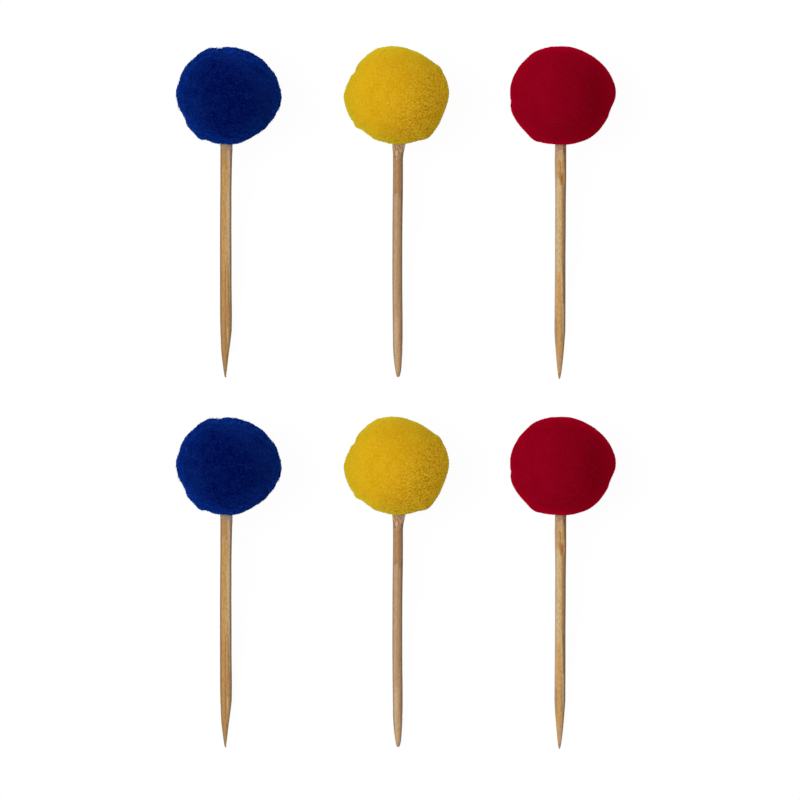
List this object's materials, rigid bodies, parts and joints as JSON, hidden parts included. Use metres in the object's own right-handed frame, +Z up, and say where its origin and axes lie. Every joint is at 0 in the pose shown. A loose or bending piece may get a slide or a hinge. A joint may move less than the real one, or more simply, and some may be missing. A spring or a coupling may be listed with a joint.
{
  "type": "pompom cake topper set",
  "caption": "Cake toppers in blue, yellow and red: round pompoms of cut yarn, each tied at its middle and glued on a pointed wooden stick, lying flat in rows.",
  "frame": {"origin": "middle of the set's outer box, on the table that the toppers lie on", "axes": "+X across the set from the blue toppers to the red ones, +Y from the sticks' points to the pompoms, +Z up off the table"},
  "size_m": [0.1256, 0.2008, 0.0281],
  "materials": {
    "blue_yarn": "matte",
    "yellow_yarn": "matte",
    "red_yarn": "matte",
    "tan_wood": "matte",
    "rosy_wood": "matte",
    "pale_wood": "matte",
    "tie_thread": "matte",
    "glue": "satin"
  },
  "bodies": {
    "blue_topper_1": {"blue_pompom_1": "blue_yarn", "blue_stick_1": "tan_wood", "blue_tie_1": "tie_thread", "blue_glue_1": "glue"},
    "yellow_topper_1": {"yellow_pompom_1": "yellow_yarn", "yellow_stick_1": "rosy_wood", "yellow_tie_1": "tie_thread", "yellow_glue_1": "glue"},
    "red_topper_1": {"red_pompom_1": "red_yarn", "red_stick_1": "pale_wood", "red_tie_1": "tie_thread", "red_glue_1": "glue"},
    "blue_topper_2": {"blue_pompom_2": "blue_yarn", "blue_stick_2": "tan_wood", "blue_tie_2": "tie_thread", "blue_glue_2": "glue"},
    "yellow_topper_2": {"yellow_pompom_2": "yellow_yarn", "yellow_stick_2": "rosy_wood", "yellow_tie_2": "tie_thread", "yellow_glue_2": "glue"},
    "red_topper_2": {"red_pompom_2": "red_yarn", "red_stick_2": "pale_wood", "red_tie_2": "tie_thread", "red_glue_2": "glue"}
  },
  "joints": [
    {"name": "lift_yellow_1", "type": "slide", "parent": "blue_topper_1", "child": "yellow_topper_1", "axis": [0, 0, 1], "range_m": [0, 0.04]},
    {"name": "lift_red_1", "type": "slide", "parent": "blue_topper_1", "child": "red_topper_1", "axis": [0, 0, 1], "range_m": [0, 0.04]},
    {"name": "lift_blue_2", "type": "slide", "parent": "blue_topper_1", "child": "blue_topper_2", "axis": [0, 0, 1], "range_m": [0, 0.04]},
    {"name": "lift_yellow_2", "type": "slide", "parent": "blue_topper_1", "child": "yellow_topper_2", "axis": [0, 0, 1], "range_m": [0, 0.04]},
    {"name": "lift_red_2", "type": "slide", "parent": "blue_topper_1", "child": "red_topper_2", "axis": [0, 0, 1], "range_m": [0, 0.04]}
  ]
}
